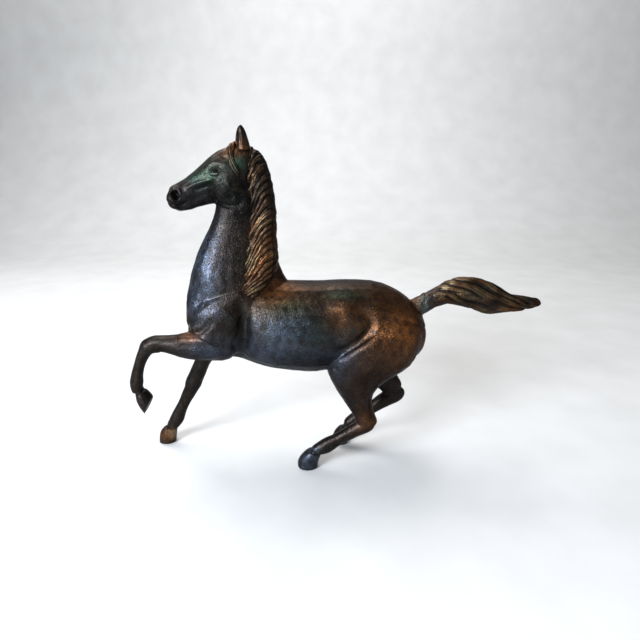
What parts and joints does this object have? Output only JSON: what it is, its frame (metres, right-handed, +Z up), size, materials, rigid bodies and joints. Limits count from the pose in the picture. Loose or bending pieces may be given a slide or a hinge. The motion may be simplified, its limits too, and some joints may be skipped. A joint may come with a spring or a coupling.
{
  "type": "horse statuette",
  "caption": "Cast bronze horse with one foreleg lifted and the tail streaming, built from hollow and solid castings on dowelled joints.",
  "frame": {"origin": "under the middle of the bounding box, on the surface the hooves stand on", "axes": "+Z up, +X towards the tail, +Y towards the horse's right side"},
  "size_m": [0.3016, 0.0566, 0.2483],
  "materials": {
    "patinated_bronze": "dark brown-black patina, satin",
    "bare_bronze": "bare"
  },
  "bodies": {
    "root": {"body_casting": "patinated_bronze", "neck_and_head_casting": "patinated_bronze", "mane_casting": "patinated_bronze", "forelock_casting": "patinated_bronze", "left_ear": "patinated_bronze", "right_ear": "patinated_bronze", "tail_casting": "patinated_bronze", "left_foreleg_casting": "patinated_bronze", "right_foreleg_casting": "patinated_bronze", "left_hind_leg_casting": "patinated_bronze", "right_hind_leg_casting": "patinated_bronze", "belly_plug_front": "patinated_bronze", "belly_plug_rear": "patinated_bronze", "right_side_plug_front": "patinated_bronze", "right_side_plug_rear": "patinated_bronze", "neck_dowel_front": "bare_bronze", "neck_dowel_rear": "bare_bronze", "tail_dowel": "bare_bronze", "left_foreleg_dowel": "bare_bronze", "right_foreleg_dowel": "bare_bronze", "left_hind_leg_dowel": "bare_bronze", "right_hind_leg_dowel": "bare_bronze"}
  },
  "joints": []
}
